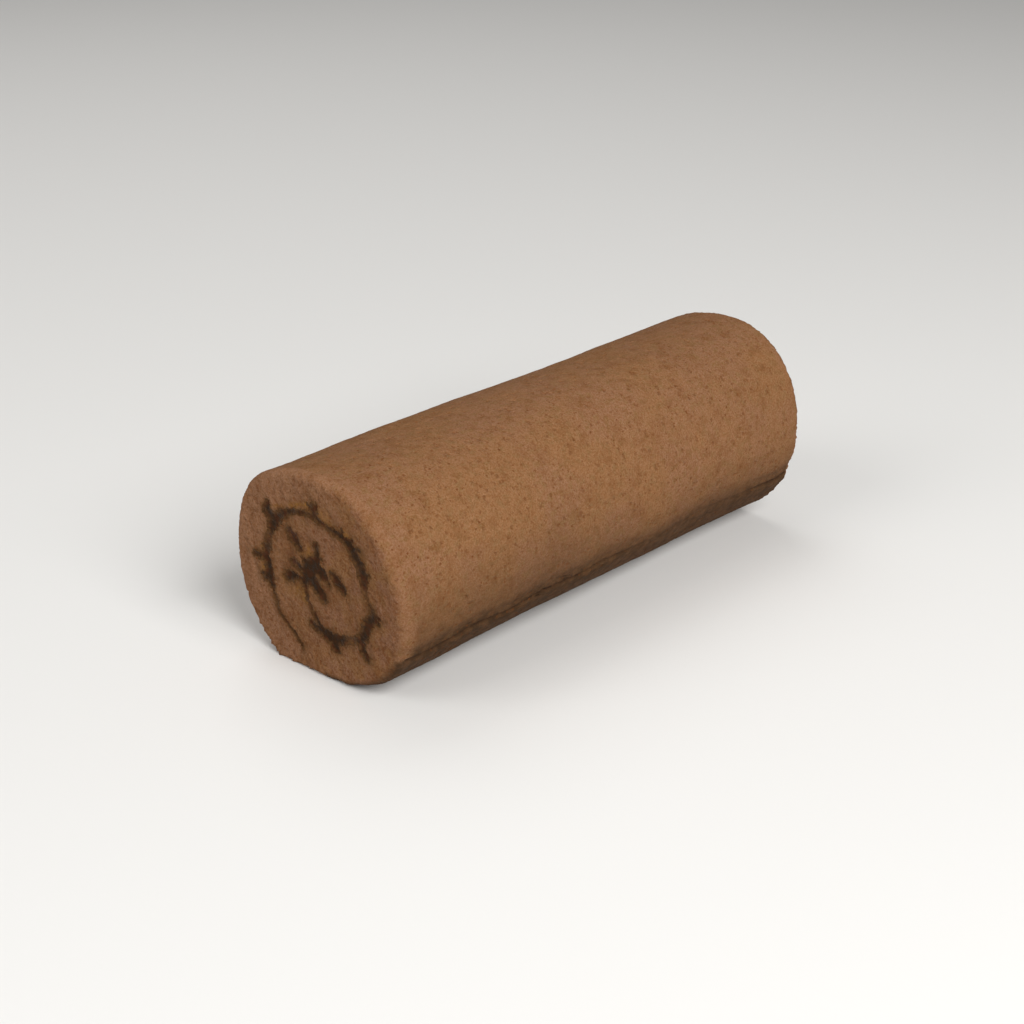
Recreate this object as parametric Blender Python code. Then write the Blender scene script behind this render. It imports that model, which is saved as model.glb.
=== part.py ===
"""A chocolate mini roll: one sheet of sponge cake rolled up round cocoa cream, cut off at both ends.

The roll lies along X with a cut face at each end, stands on the XY plane and is symmetric about
nothing: it sags to one side, its front face leans, and the tail of the sheet ends in a seam low
on the -Y side. Sections are drawn in millimetres as (y, z) and turned into metres in one place.
"""
import math

import bmesh
import bpy

# --- Driving dimensions, in millimetres -----------------------------------------------------------
LENGTH = 160.0              # between the cut faces, at half height
RADIUS = 31.25              # mean radius of the roll
AXIS_HEIGHT = 28.3          # of the middle of the outline over the base
HALF_HEIGHT = 29.3          # where the length is measured
LEAN = 0.092                # how far the front face leans out, for each millimetre of height
FAR_WIDTH = 0.98            # the far end's width against the front's
FAR_HEIGHT = 1.028          # and its height
RIM = 2.5                   # radius of the crumbled edge round each cut face
CLEARANCE = 0.3             # between the cream and the sponge round it
SEAM = 0.15                 # half width of the closed seam under the tail
SHIFT_X = 1.24              # moves the whole roll, lean and all, so that its box is centred in X
SHIFT_Y = 0.3               # and in Y

# Waves round the outline that turn a circle into a sagging roll: how many lobes, their height in
# millimetres, and the direction of one crest in degrees (0 is +Y, 90 is up).
SAG_LOBES = ((2, 1.8, -32.0), (3, 0.35, -42.0), (4, 0.75, -44.0), (5, 0.25, -32.0))

# Gentle waves that rolling by hand leaves in the skin: their height in millimetres, the radians
# they turn through from one end to the other, how many lobes go round, and where they start.
SWELL_WAVES = ((0.35, 5.0, 2, 0.0), (0.21, 11.0, -3, 1.0))

# --- The filling in the section: (y, z, half thickness) in millimetres ----------------------------
# The cream's line winds out from the core, one turn and a half, and fades out above the base.
WINDING = (
    (4.4, 25.5, 0.8), (4.0, 21.5, 0.55), (2.4, 17.2, 0.6), (0.4, 14.0, 1.0), (-3.6, 12.7, 1.5),
    (-8.6, 14.6, 0.9), (-13.6, 16.1, 1.0), (-16.9, 19.6, 1.4), (-19.6, 24.0, 1.4),
    (-20.2, 27.6, 0.8), (-18.8, 31.0, 0.5), (-19.1, 35.6, 1.2), (-17.7, 40.0, 1.5),
    (-14.6, 43.8, 1.3), (-9.6, 45.4, 0.8), (-4.6, 46.9, 0.8), (0.6, 47.1, 0.6), (6.0, 45.8, 0.8),
    (10.6, 43.4, 1.0), (14.2, 40.4, 1.5), (16.3, 36.2, 0.8), (18.6, 31.2, 1.1), (18.7, 26.4, 1.1),
    (18.8, 22.4, 1.5), (17.3, 16.6, 0.7), (15.6, 12.0, 0.6), (11.4, 9.2, 0.6), (8.3, 5.4, 0.4),
)

# Lumps where the cream was pressed into the crumb beside its line.
LUMPS = (
    ((-4.0, 12.6, 1.6), (-4.3, 9.8, 0.7)),
    ((-1.0, 13.0, 1.0), (4.2, 13.5, 0.5)),
    ((-15.2, 16.4, 1.1), (-16.0, 12.2, 0.9)),
    ((-20.4, 25.6, 1.2), (-23.6, 25.2, 0.5)),
    ((-15.8, 42.4, 1.1), (-18.4, 43.0, 0.5)),
    ((-12.0, 45.2, 1.0), (-12.9, 46.9, 0.6)),
    ((-2.4, 47.2, 1.3), (-2.8, 50.4, 0.9)),
    ((14.6, 41.0, 1.4), (15.2, 44.8, 0.9)),
    ((18.8, 28.4, 1.1), (23.6, 27.8, 0.6)),
    ((18.8, 22.8, 1.2), (21.0, 22.5, 0.7)),
)

# The crushed start of the roll, where the cream lies in a star of four arms.
CORE = (
    ((4.4, 26.8, 1.3), (3.4, 29.4, 1.4), (1.7, 31.9, 1.7), (-0.8, 34.2, 1.5), (-1.9, 36.8, 1.0),
     (-2.0, 39.2, 0.7)),
    ((-0.6, 33.6, 1.4), (-3.4, 32.7, 1.1), (-4.6, 31.4, 0.5)),
    ((2.4, 28.6, 1.2), (-0.6, 26.6, 1.4), (-2.4, 23.9, 1.0)),
    ((4.8, 27.0, 1.1), (8.6, 26.6, 1.3), (12.0, 24.2, 0.8)),
)

# Two streaks of cream that lie apart from the rest.
STREAKS = {
    "cream_streak_low": ((-6.9, 32.4, 0.8), (-8.2, 31.5, 1.3), (-10.6, 29.2, 0.9)),
    "cream_streak_high": ((8.6, 40.4, 0.9), (7.6, 38.4, 1.4), (5.2, 37.0, 0.9)),
}

# The tail of the sheet lies under the roll and up its side a little: the seam runs from the end of
# the cream's line to the skin, where it opens into a narrow groove over the lip of the tail.
TAIL_SEAM = (
    (8.3, 5.4, SEAM), (0.0, 5.0, SEAM), (-9.0, 5.6, SEAM), (-16.5, 8.4, SEAM),
    (-21.5, 11.8, 0.2), (-25.0, 14.2, 0.35), (-28.6, 16.0, 0.8), (-31.4, 17.3, 1.3),
)

# --- How finely the shapes are divided ------------------------------------------------------------
OUTLINE_STEPS = 96          # points round the skin
LENGTH_STEPS = 14           # rings along it, between the rims
RIM_STEPS = 3               # rings round each rim
STROKE_STEPS = 3            # points on a stroke for each one given
CAP_STEPS = 5               # points round a stroke's end
OVERSHOOT = 4.0             # how far the shortest helper runs past the cut faces
OVERSHOOT_STEP = 0.25       # and how much further each next one does

MM = 0.001                  # one millimetre in metres


def place(x, y, z):
    """A point of the drawing, in millimetres, as a place in the model, in metres."""
    return (x + SHIFT_X) * MM, (y + SHIFT_Y) * MM, z * MM


# --- The roll's own curves ------------------------------------------------------------------------
def front_plane(z):
    """X of the leaning front face at height z."""
    return -LENGTH / 2 - LEAN * (z - HALF_HEIGHT)


def skin_radius(angle, along):
    """Radius of the outline in one direction, at a place from 0, the front, to 1, the far end."""
    radius = RADIUS
    for lobes, height, crest in SAG_LOBES:
        radius += height * math.cos(lobes * (angle - math.radians(crest)))
    for height, turn, lobes, start in SWELL_WAVES:
        radius += height * math.sin(turn * along + lobes * angle + start)
    return radius


def skin_point(angle, along, inset):
    """Point (y, z) of the skin, pulled in by inset, and flat where it rests on the base."""
    radius = skin_radius(angle, along)
    width = 1.0 + (FAR_WIDTH - 1.0) * along
    height = 1.0 + (FAR_HEIGHT - 1.0) * along
    y = radius * math.cos(angle) * width
    z = max((AXIS_HEIGHT + radius * math.sin(angle)) * height, 0.0)
    pull = 1.0 - inset / math.hypot(y, z - AXIS_HEIGHT)
    return y * pull, AXIS_HEIGHT + (z - AXIS_HEIGHT) * pull


def ring_places():
    """(place along the roll, step from there along X, inset) of each ring, front to far end."""
    rim = []
    for step in range(RIM_STEPS + 1):
        turn = 0.5 * math.pi * step / RIM_STEPS
        rim.append((RIM * (1.0 - math.cos(turn)), RIM * (1.0 - math.sin(turn))))
    rings = [(0.0, depth, inset) for depth, inset in rim]
    rings += [(step / LENGTH_STEPS, 0.0, 0.0) for step in range(1, LENGTH_STEPS)]
    rings += [(1.0, -depth, inset) for depth, inset in reversed(rim)]
    return rings


def smooth_path(points):
    """A stroke's points with more between them, on a Catmull-Rom curve."""
    last = len(points) - 1
    path = []
    for start in range(last):
        before = points[max(start - 1, 0)]
        here = points[start]
        there = points[start + 1]
        after = points[min(start + 2, last)]
        for step in range(STROKE_STEPS):
            t = step / STROKE_STEPS
            path.append(tuple(
                0.5 * (2 * b + (c - a) * t + (2 * a - 5 * b + 4 * c - d) * t ** 2
                       + (3 * b - a - 3 * c + d) * t ** 3)
                for a, b, c, d in zip(before, here, there, after)))
    path.append(tuple(points[last]))
    return path


def stroke_outline(points, extra):
    """Outline (y, z) of a stroke of varying thickness with round ends, made wider by extra."""
    path = smooth_path(points)
    left = []
    right = []
    for index, (y, z, half) in enumerate(path):
        ahead = path[min(index + 1, len(path) - 1)]
        behind = path[max(index - 1, 0)]
        heading = math.atan2(ahead[1] - behind[1], ahead[0] - behind[0])
        reach = half + extra
        side_y = -math.sin(heading) * reach
        side_z = math.cos(heading) * reach
        left.append((y + side_y, z + side_z))
        right.append((y - side_y, z - side_z))
    return left + round_end(path[-1], path[-2], extra) + right[::-1] + round_end(path[0], path[1], extra)


def round_end(tip, inner, extra):
    """The points strictly between the two sides at one end of a stroke, clockwise about its tip."""
    heading = math.atan2(tip[1] - inner[1], tip[0] - inner[0])
    reach = tip[2] + extra
    points = []
    for step in range(1, CAP_STEPS):
        turn = heading + math.pi * (0.5 - step / CAP_STEPS)
        points.append((tip[0] + reach * math.cos(turn), tip[1] + reach * math.sin(turn)))
    return points


# --- Making objects -------------------------------------------------------------------------------
def clear_scene():
    for old in list(bpy.data.objects):
        bpy.data.objects.remove(old, do_unlink=True)


def make_material(name, colour, roughness):
    material = bpy.data.materials.new(name)
    material.use_nodes = True
    shader = material.node_tree.nodes["Principled BSDF"]
    shader.inputs["Base Color"].default_value = (*colour, 1.0)
    shader.inputs["Roughness"].default_value = roughness
    shader.inputs["Metallic"].default_value = 0.0
    return material


def add_object(name, bm, material, collection):
    """Make an object from a bmesh whose faces are turned outwards first."""
    bmesh.ops.recalc_face_normals(bm, faces=bm.faces)
    mesh = bpy.data.meshes.new(name)
    bm.to_mesh(mesh)
    bm.free()
    if material:
        mesh.materials.append(material)
    piece = bpy.data.objects.new(name, mesh)
    collection.objects.link(piece)
    return piece


def prism(name, outline, half_length, material, collection):
    """Run a section's outline along the roll, half_length to either side of the middle."""
    bm = bmesh.new()
    face = bm.faces.new([bm.verts.new(place(-half_length, y, z)) for y, z in outline])
    grown = bmesh.ops.extrude_face_region(bm, geom=[face])["geom"]
    moved = [vert for vert in grown if isinstance(vert, bmesh.types.BMVert)]
    bmesh.ops.translate(bm, vec=(2.0 * half_length * MM, 0.0, 0.0), verts=moved)
    return add_object(name, bm, material, collection)


def between_faces(collection):
    """A block that reaches from the leaning front face to the far one, well past the skin."""
    bm = bmesh.new()
    side = 2.0 * RADIUS
    corners = ((-side, -RADIUS), (side, -RADIUS), (side, 3.0 * RADIUS), (-side, 3.0 * RADIUS))
    face = bm.faces.new([bm.verts.new(place(front_plane(z), y, z)) for y, z in corners])
    grown = bmesh.ops.extrude_face_region(bm, geom=[face])["geom"]
    for vert in grown:
        if isinstance(vert, bmesh.types.BMVert):
            vert.co.x = place(LENGTH / 2, 0.0, 0.0)[0]
    return add_object("between_faces", bm, None, collection)


def stroke_prisms(prefix, strokes, extra, collection):
    """A prism for each stroke. No two are equally long, so that none share an end plane."""
    for number, stroke in enumerate(strokes):
        half_length = LENGTH / 2 + OVERSHOOT + OVERSHOOT_STEP * number
        prism(f"{prefix}_{number}", stroke_outline(stroke, extra), half_length, None, collection)


def hide_helpers(collection):
    for helper in collection.objects:
        helper.hide_render = True
        helper.display_type = "WIRE"


def combine(target, operation, helper):
    """Join a helper solid to the target, cut it out, or keep only what lies inside it."""
    modifier = target.modifiers.new(f"{operation.lower()} {helper.name}", "BOOLEAN")
    modifier.operation = operation
    modifier.solver = "EXACT"
    modifier.object = helper


def helper_collection(name):
    collection = bpy.data.collections.new(name)
    bpy.context.scene.collection.children.link(collection)
    return collection


# --- The pieces -----------------------------------------------------------------------------------
def make_sponge(material):
    """The rolled sheet: its skin from rings along the roll, and the slot that the cream fills."""
    bm = bmesh.new()
    rings = []
    for along, step_in, inset in ring_places():
        ring = []
        for step in range(OUTLINE_STEPS):
            angle = math.tau * step / OUTLINE_STEPS
            y, z = skin_point(angle, along, inset)
            x = (1.0 - along) * front_plane(z) + along * LENGTH / 2 + step_in
            ring.append(bm.verts.new(place(x, y, z)))
        rings.append(ring)
    for ring, following in zip(rings, rings[1:]):
        for step in range(OUTLINE_STEPS):
            beside = (step + 1) % OUTLINE_STEPS
            bm.faces.new((ring[step], ring[beside], following[beside], following[step]))
    bm.faces.new(rings[0])
    bm.faces.new(rings[-1])
    sponge = add_object("sponge", bm, material, bpy.context.scene.collection)

    cutters = helper_collection("cream_room")
    stroke_prisms("room", [WINDING, *LUMPS, *CORE, *STREAKS.values()], CLEARANCE, cutters)
    stroke_prisms("seam", [TAIL_SEAM], 0.0, cutters)
    hide_helpers(cutters)
    for cutter in cutters.objects:
        combine(sponge, "DIFFERENCE", cutter)


def make_cream(material):
    """The filling: its winding line with the lumps and the core, and the two streaks apart."""
    scene_collection = bpy.context.scene.collection
    parts = helper_collection("cream_parts")
    stroke_prisms("part", [*LUMPS, *CORE], 0.0, parts)
    hide_helpers(parts)
    ends = helper_collection("cream_ends")
    block = between_faces(ends)
    hide_helpers(ends)
    past_all_parts = LENGTH / 2 + 3.0 * OVERSHOOT
    for name, stroke in {"cream": WINDING, **STREAKS}.items():
        piece = prism(name, stroke_outline(stroke, 0.0), past_all_parts, material, scene_collection)
        if name == "cream":
            for part in parts.objects:
                combine(piece, "UNION", part)
        combine(piece, "INTERSECT", block)


clear_scene()
make_sponge(make_material("sponge", (0.42, 0.20, 0.09), 0.9))
make_cream(make_material("cream", (0.045, 0.022, 0.012), 0.55))
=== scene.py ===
"""A chocolate mini roll: the looks of the rolled sponge sheet and of the cocoa cream wound up in it."""
import math

import bmesh
import bpy
import numpy as np
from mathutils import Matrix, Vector, geometry, noise


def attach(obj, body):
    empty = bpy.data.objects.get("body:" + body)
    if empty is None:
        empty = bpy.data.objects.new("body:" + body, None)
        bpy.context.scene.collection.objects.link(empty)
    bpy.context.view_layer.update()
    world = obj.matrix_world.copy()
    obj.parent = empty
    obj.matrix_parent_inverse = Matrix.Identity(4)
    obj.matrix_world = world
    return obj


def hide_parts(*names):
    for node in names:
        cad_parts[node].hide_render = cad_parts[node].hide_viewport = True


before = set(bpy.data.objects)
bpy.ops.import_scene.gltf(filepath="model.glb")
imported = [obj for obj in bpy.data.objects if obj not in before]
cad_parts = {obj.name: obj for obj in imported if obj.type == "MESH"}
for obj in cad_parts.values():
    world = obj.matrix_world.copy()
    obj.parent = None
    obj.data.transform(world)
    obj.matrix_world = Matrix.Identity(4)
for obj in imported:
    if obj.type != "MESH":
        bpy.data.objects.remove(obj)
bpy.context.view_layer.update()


# ==================================================================================================
# The cut section of the roll. A sheet of sponge was spread with cocoa cream, rolled up from a
# crushed core and cut across, so the same drawing in (y, z), in millimetres, serves both cut faces
# and everything between them. Each stroke of cream is a row of (y, z, half thickness).
# ==================================================================================================
RADIUS = 31.25
AXIS_HEIGHT = 28.3
# A sagging circle: number of lobes, their height, and the direction of one crest in degrees.
SAG_LOBES = ((2, 1.8, -32.0), (3, 0.35, -42.0), (4, 0.75, -44.0), (5, 0.25, -32.0))

WINDING = (
    (4.6, 26.2, 1.0), (4.2, 22.6, 0.9), (3.6, 20.0, 0.85), (2.6, 17.6, 0.95), (1.3, 15.6, 1.2),
    (0.0, 13.9, 1.6), (-1.8, 13.0, 2.0), (-4.2, 12.7, 2.1), (-6.6, 13.5, 1.7), (-9.2, 14.7, 1.2),
    (-12.0, 15.6, 1.2), (-14.4, 16.5, 1.5), (-16.0, 18.2, 1.7), (-17.4, 20.6, 1.8),
    (-18.6, 22.8, 1.6), (-20.2, 25.0, 1.4), (-20.4, 27.0, 0.9), (-19.2, 29.4, 0.7),
    (-18.6, 31.6, 1.1), (-18.5, 34.0, 1.6), (-18.5, 36.4, 2.0), (-18.3, 38.4, 2.0),
    (-17.1, 40.5, 1.9), (-15.7, 42.6, 1.8), (-13.7, 44.2, 1.5), (-11.5, 45.3, 1.3),
    (-9.0, 45.5, 0.95), (-6.4, 46.1, 0.85), (-3.4, 47.2, 1.1), (-0.5, 47.3, 0.95), (2.5, 46.8, 0.9),
    (6.0, 45.9, 1.0), (9.0, 44.7, 1.1), (11.5, 43.0, 1.5), (13.8, 41.2, 1.9), (15.3, 38.7, 1.6),
    (16.3, 36.4, 1.1), (17.3, 34.2, 1.2), (18.4, 32.0, 1.4), (19.0, 29.4, 1.5), (18.8, 26.4, 1.5),
    (19.1, 23.6, 1.9), (18.6, 21.0, 1.4), (17.7, 18.2, 0.7), (17.2, 15.6, 0.6), (16.2, 12.7, 0.6),
    (14.3, 10.9, 0.6), (12.2, 9.2, 0.6), (10.6, 7.8, 0.6), (9.4, 6.4, 0.55), (8.4, 5.0, 0.45),
)
LUMPS = (
    ((-4.0, 12.6, 2.0), (-4.3, 10.4, 1.6)),
    ((-0.5, 13.6, 1.6), (2.4, 14.0, 1.5), (4.4, 14.4, 0.9)),
    ((-15.2, 16.4, 1.5), (-15.1, 14.2, 1.4), (-16.2, 12.0, 1.2)),
    ((-20.4, 25.5, 1.3), (-23.6, 25.4, 0.6)),
    ((-20.6, 25.0, 1.2), (-22.6, 23.8, 0.6)),
    ((-20.4, 26.0, 0.9), (-20.2, 28.6, 0.5)),
    ((-18.6, 37.6, 1.4), (-20.6, 37.4, 0.8)),
    ((-15.8, 42.6, 1.2), (-18.5, 43.1, 0.6)),
    ((-14.4, 43.6, 1.1), (-16.2, 45.4, 0.6)),
    ((-12.2, 45.4, 1.1), (-13.0, 47.0, 0.7)),
    ((-2.2, 47.4, 1.4), (-2.7, 49.0, 1.6), (-2.4, 51.0, 0.8)),
    ((-3.0, 48.2, 1.2), (-4.0, 51.1, 0.5)),
    ((-1.6, 48.0, 1.0), (-0.8, 50.2, 0.5)),
    ((14.0, 41.6, 1.8), (15.9, 43.2, 1.7), (15.3, 45.5, 0.9)),
    ((15.4, 41.4, 1.4), (17.4, 42.3, 0.9)),
    ((18.8, 28.4, 1.3), (22.0, 28.4, 1.2), (24.2, 27.9, 0.6)),
    ((19.2, 23.6, 1.5), (20.8, 21.8, 0.9)),
    ((19.4, 23.2, 1.4), (21.7, 23.2, 0.7)),
)
CORE = (
    ((4.8, 26.7, 1.7), (3.4, 28.6, 2.4), (2.0, 30.8, 2.8), (0.6, 32.5, 2.5), (-1.1, 34.5, 1.7),
     (-1.8, 36.8, 1.1), (-1.8, 39.2, 0.9)),
    ((2.4, 32.0, 1.9), (4.1, 33.4, 1.1)),
    ((-0.2, 32.4, 2.2), (-2.6, 31.6, 2.0), (-4.3, 30.4, 1.2), (-5.2, 28.6, 0.6)),
    ((-1.2, 34.8, 1.2), (-3.6, 35.8, 0.6)),
    ((1.8, 29.2, 2.3), (0.2, 27.0, 2.2), (-1.0, 25.6, 1.9), (-2.6, 23.9, 1.2)),
    ((4.6, 26.9, 1.4), (7.4, 27.0, 1.2), (9.8, 26.5, 1.9), (11.8, 25.0, 1.3)),
    ((4.0, 29.6, 1.3), (6.4, 30.8, 1.4), (8.4, 30.8, 1.3)),
)
STREAKS = {
    "cream_streak_low": ((-7.2, 32.2, 1.2), (-8.6, 31.0, 1.8), (-10.6, 29.2, 1.3)),
    "cream_streak_high": ((8.6, 39.8, 1.3), (7.1, 38.4, 2.2), (5.0, 36.4, 1.6)),
}

SEAM_AT, SEAM_ZONE = (-28.0, 15.6), 3.4     # where the tail's seam comes out of the skin, and its reach
TORN_AT, TORN_ZONE = (24.0, 7.5), 12.0      # middle and reach of the part of the rim that is torn
OUTLINE_TRIALS = 4000       # points of the outline that the skin's points are chosen from
# How far apart the skin's points lie: elsewhere, at the seam, and where the rim is torn.
SKIN_STEP, SEAM_STEP, TORN_STEP = 0.9, 0.34, 0.36
FINE, COARSE = 0.34, 0.62   # how far apart the crumbs are drawn, beside the cream and elsewhere
BESIDE = 0.9                # how far from the cream's edge they are drawn fine
ROW_GAP, JITTER = 0.866, 0.3        # from row to row of crumbs, and how far each is off, in steps
WIDEST = 1.1 * RADIUS       # more than the section reaches to either side
INSIDE_ONLY, SAME_POINT = 1, 1e-5   # which triangles are wanted, and how close two points are one
WALL_CUTS = 2               # rows of points between the cut faces, where sponge and cream meet
RAGGED = ((3.2, 0.35), (1.3, 0.60), (0.6, 0.40))    # size and reach of the cream's frayed edges
CLEAN_LINE = ((12.0, 9.0, 6.5, 0.75),)      # where its thin tail is drawn out with no frayed edge

draw = np.random.default_rng(20)


def lumps(points, size, seed):
    """Smooth noise from -1 to 1 at each point (x, y, z), in lumps of about size millimetres."""
    start = Vector((seed, 1.7 * seed, 2.3 * seed))
    return np.array([noise.noise(Vector(point) / size + start) for point in points])


def on_section(points):
    """Points (y, z) of the section with a zero for x."""
    return np.column_stack([np.zeros(len(points)), points])


def smooth_step(value, low, high):
    t = np.clip((value - low) / (high - low), 0.0, 1.0)
    return t * t * (3.0 - 2.0 * t)


def outline_radius(angle):
    radius = np.full_like(angle, RADIUS)
    for lobes, height, crest in SAG_LOBES:
        radius += height * np.cos(lobes * (angle - math.radians(crest)))
    return radius


def outline():
    """The skin's outline, flat on the base, and closely divided at the seam and where it is torn."""
    angle = np.linspace(0.0, math.tau, OUTLINE_TRIALS, endpoint=False)
    radius = outline_radius(angle)
    fine = np.column_stack([radius * np.cos(angle), np.maximum(AXIS_HEIGHT + radius * np.sin(angle), 0.0)])
    stretch = np.hypot(*np.diff(fine, axis=0, append=fine[:1]).T)
    near_seam = np.hypot(*(fine - SEAM_AT).T) < SEAM_ZONE
    torn = np.hypot(*(fine - TORN_AT).T) < TORN_ZONE
    steps = np.cumsum(stretch / np.where(near_seam, SEAM_STEP, np.where(torn, TORN_STEP, SKIN_STEP)))
    wanted = np.linspace(0.0, steps[-1], int(steps[-1]), endpoint=False)
    return fine[np.searchsorted(steps, wanted)]


def smooth_stroke(points, steps=3):
    """A stroke with more points between those given, on a Catmull-Rom curve."""
    ends = np.array([points[0], *points, points[-1]])
    before, here, there, after = ends[:-3], ends[1:-2], ends[2:-1], ends[3:]
    rows = []
    for t in np.arange(steps) / steps:
        rows.append(0.5 * (2 * here + (there - before) * t
                           + (2 * before - 5 * here + 4 * there - after) * t ** 2
                           + (3 * here - before - 3 * there + after) * t ** 3))
    return np.vstack([np.stack(rows, axis=1).reshape(-1, 3), ends[-1:]])


def distance_to(points, strokes, block=4000):
    """Distance of each (y, z) point from the nearest stroke's edge, negative inside the stroke."""
    starts = np.vstack([stroke[:-1] for stroke in strokes])
    spans = np.vstack([stroke[1:] for stroke in strokes]) - starts
    squared = np.maximum((spans[:, :2] ** 2).sum(axis=1), 1e-12)
    nearest = []
    for first in range(0, len(points), block):
        away = points[first:first + block, None, :] - starts[None, :, :2]
        t = np.clip((away * spans[:, :2]).sum(axis=2) / squared, 0.0, 1.0)
        gap = np.hypot(*np.moveaxis(away - t[..., None] * spans[:, :2], 2, 0))
        nearest.append((gap - starts[:, 2] - t * spans[:, 2]).min(axis=1))
    return np.concatenate(nearest)


def scatter(step):
    """Points (y, z) over the whole section, about a step apart, in no visible order."""
    rows = np.arange(0.0, 2.0 * RADIUS + step, step * ROW_GAP)
    grid = []
    for number, z in enumerate(rows):
        y = np.arange(-WIDEST, WIDEST, step) + 0.5 * step * (number % 2)
        grid.append(np.column_stack([y, np.full_like(y, z)]))
    grid = np.vstack(grid)
    return grid + draw.uniform(-JITTER, JITTER, grid.shape) * step


skin_line = outline()
closed_line = np.column_stack([np.vstack([skin_line, skin_line[:1]]), np.zeros(len(skin_line) + 1)])
cream_strokes = [smooth_stroke(stroke) for stroke in (WINDING, *LUMPS, *CORE)]
streak_strokes = {name: [smooth_stroke(stroke)] for name, stroke in STREAKS.items()}
all_strokes = cream_strokes + [stroke for group in streak_strokes.values() for stroke in group]


def inside_skin(points, margin):
    angle = np.arctan2(points[:, 1] - AXIS_HEIGHT, points[:, 0])
    reach = np.hypot(points[:, 0], points[:, 1] - AXIS_HEIGHT)
    return (reach < outline_radius(angle) - margin) & (points[:, 1] > margin)


def crumb_points():
    """The points that the section is divided at: the skin's, then those of the crumb inside."""
    coarse, fine = scatter(COARSE), scatter(FINE)
    coarse = coarse[inside_skin(coarse, 0.5 * COARSE)]
    fine = fine[inside_skin(fine, 0.5 * FINE)]
    coarse = coarse[np.abs(distance_to(coarse, all_strokes)) > BESIDE]
    fine = fine[np.abs(distance_to(fine, all_strokes)) <= BESIDE]
    return np.vstack([skin_line, coarse, fine])


def spots(section_points, table):
    """Soft round spots on the section, each (y, z, reach, strength)."""
    y, z = section_points.T
    return sum(strength * np.exp(-((y - at_y) ** 2 + (z - at_z) ** 2) / reach ** 2)
               for at_y, at_z, reach, strength in table)


def frayed(points):
    """How far the frayed edge of the cream reaches out beyond its smooth edge."""
    flat = on_section(points)
    fringe = sum(reach * lumps(flat, size, 10.0 + size) for size, reach in RAGGED)
    return fringe * (1.0 - spots(points, CLEAN_LINE))


def draw_section():
    """Divide the section into small crumbs and say of each one what it is made of."""
    points = [Vector(point) for point in crumb_points()]
    count = len(skin_line)
    edges = [(step, (step + 1) % count) for step in range(count)]
    verts, _, faces, *_ = geometry.delaunay_2d_cdt(points, edges, [], INSIDE_ONLY, SAME_POINT)
    verts = np.array([tuple(vert) for vert in verts])
    middles = verts[np.array(faces)].mean(axis=1)
    fringe = frayed(middles)
    stuff = np.where(distance_to(middles, cream_strokes) < fringe, 1, 0)
    for number, strokes in enumerate(streak_strokes.values(), start=2):
        stuff[distance_to(middles, strokes) < fringe] = number
    bm = bmesh.new()
    made_of = bm.faces.layers.int.new("stuff")
    corners = [bm.verts.new((0.0, y, z)) for y, z in verts]
    for face, kind in zip(faces, stuff):
        bm.faces.new([corners[corner] for corner in face])[made_of] = int(kind)
    return bm, made_of


def patches(bm, made_of):
    """The section's faces in connected patches of one stuff."""
    seen = set()
    for first in bm.faces:
        if first in seen:
            continue
        seen.add(first)
        patch = [first]
        for face in patch:
            for edge in face.edges:
                for beside in edge.link_faces:
                    if beside not in seen and beside[made_of] == face[made_of]:
                        seen.add(beside)
                        patch.append(beside)
        yield patch


def tidy_patches(bm, made_of):
    """Give specks to what surrounds them, until each stuff is one patch with no pinched corner."""
    while True:
        largest = {}
        for patch in patches(bm, made_of):
            kind = patch[0][made_of]
            largest[kind] = max(largest.get(kind, 0), len(patch))
        changed = False
        for patch in list(patches(bm, made_of)):
            kind = patch[0][made_of]
            if len(patch) < largest[kind]:
                beside = {near[made_of] for face in patch for edge in face.edges
                          for near in edge.link_faces} - {kind}
                for face in patch:
                    face[made_of] = max(beside) if kind == 0 else 0
                changed = True
        for vert in bm.verts:
            borders = [edge for edge in vert.link_edges
                       if len({face[made_of] for face in edge.link_faces}) > 1]
            if len(borders) > 2:
                for face in vert.link_faces:
                    face[made_of] = 0
                changed = True
        if not changed:
            return


section, made_of = draw_section()
tidy_patches(section, made_of)


def lies_on_skin(section_points):
    """Which points of the section lie on the skin's line."""
    return distance_to(section_points, [closed_line]) < 1e-3


def run_through(kind, skin_cuts):
    """Run one stuff of the section through the roll: a closed solid whose x goes from 0 to 1."""
    bm = section.copy()
    stuff = bm.faces.layers.int["stuff"]
    bmesh.ops.delete(bm, geom=[face for face in bm.faces if face[stuff] != kind], context="FACES")
    grown = bmesh.ops.extrude_face_region(bm, geom=list(bm.faces))["geom"]
    back = [item for item in grown if isinstance(item, bmesh.types.BMVert)]
    bmesh.ops.translate(bm, vec=(1.0, 0.0, 0.0), verts=back)
    along = [edge for edge in bm.edges if abs(edge.verts[0].co.x - edge.verts[1].co.x) > 0.5]
    on_skin = lies_on_skin(np.array([edge.verts[0].co.yz for edge in along]))
    for wanted, cuts in ((True, skin_cuts), (False, WALL_CUTS)):
        chosen = [edge for edge, is_skin in zip(along, on_skin) if is_skin == wanted]
        if chosen and cuts:
            bmesh.ops.subdivide_edges(bm, edges=chosen, cuts=cuts)
    return bm


# ==================================================================================================
# The sponge: one sheet of baked cake about 11 mm thick, rolled up. Its skin is finely pored and
# uneven from the hand that rolled it, its cut faces are open crumb with soft broken rims, and its
# tail is tucked in low on one side, where the seam makes a crease over a slightly raised lip.
# ==================================================================================================
MM = 0.001
LENGTH = 160.0
HALF_HEIGHT = 29.3
LEAN = 0.092                # how far the front face leans out for each millimetre of height
FAR_WIDTH, FAR_HEIGHT = 0.98, 1.026         # of the far face, beside the front one
SHIFT = (1.24, 0.3)         # centres the leaning roll on the origin
SPONGE_SKIN_CUTS = 190      # rows of points from one cut face to the other
END_RINGS, END_REACH = 13, 4.5      # rows of skin close to each end, and how far they reach
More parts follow.
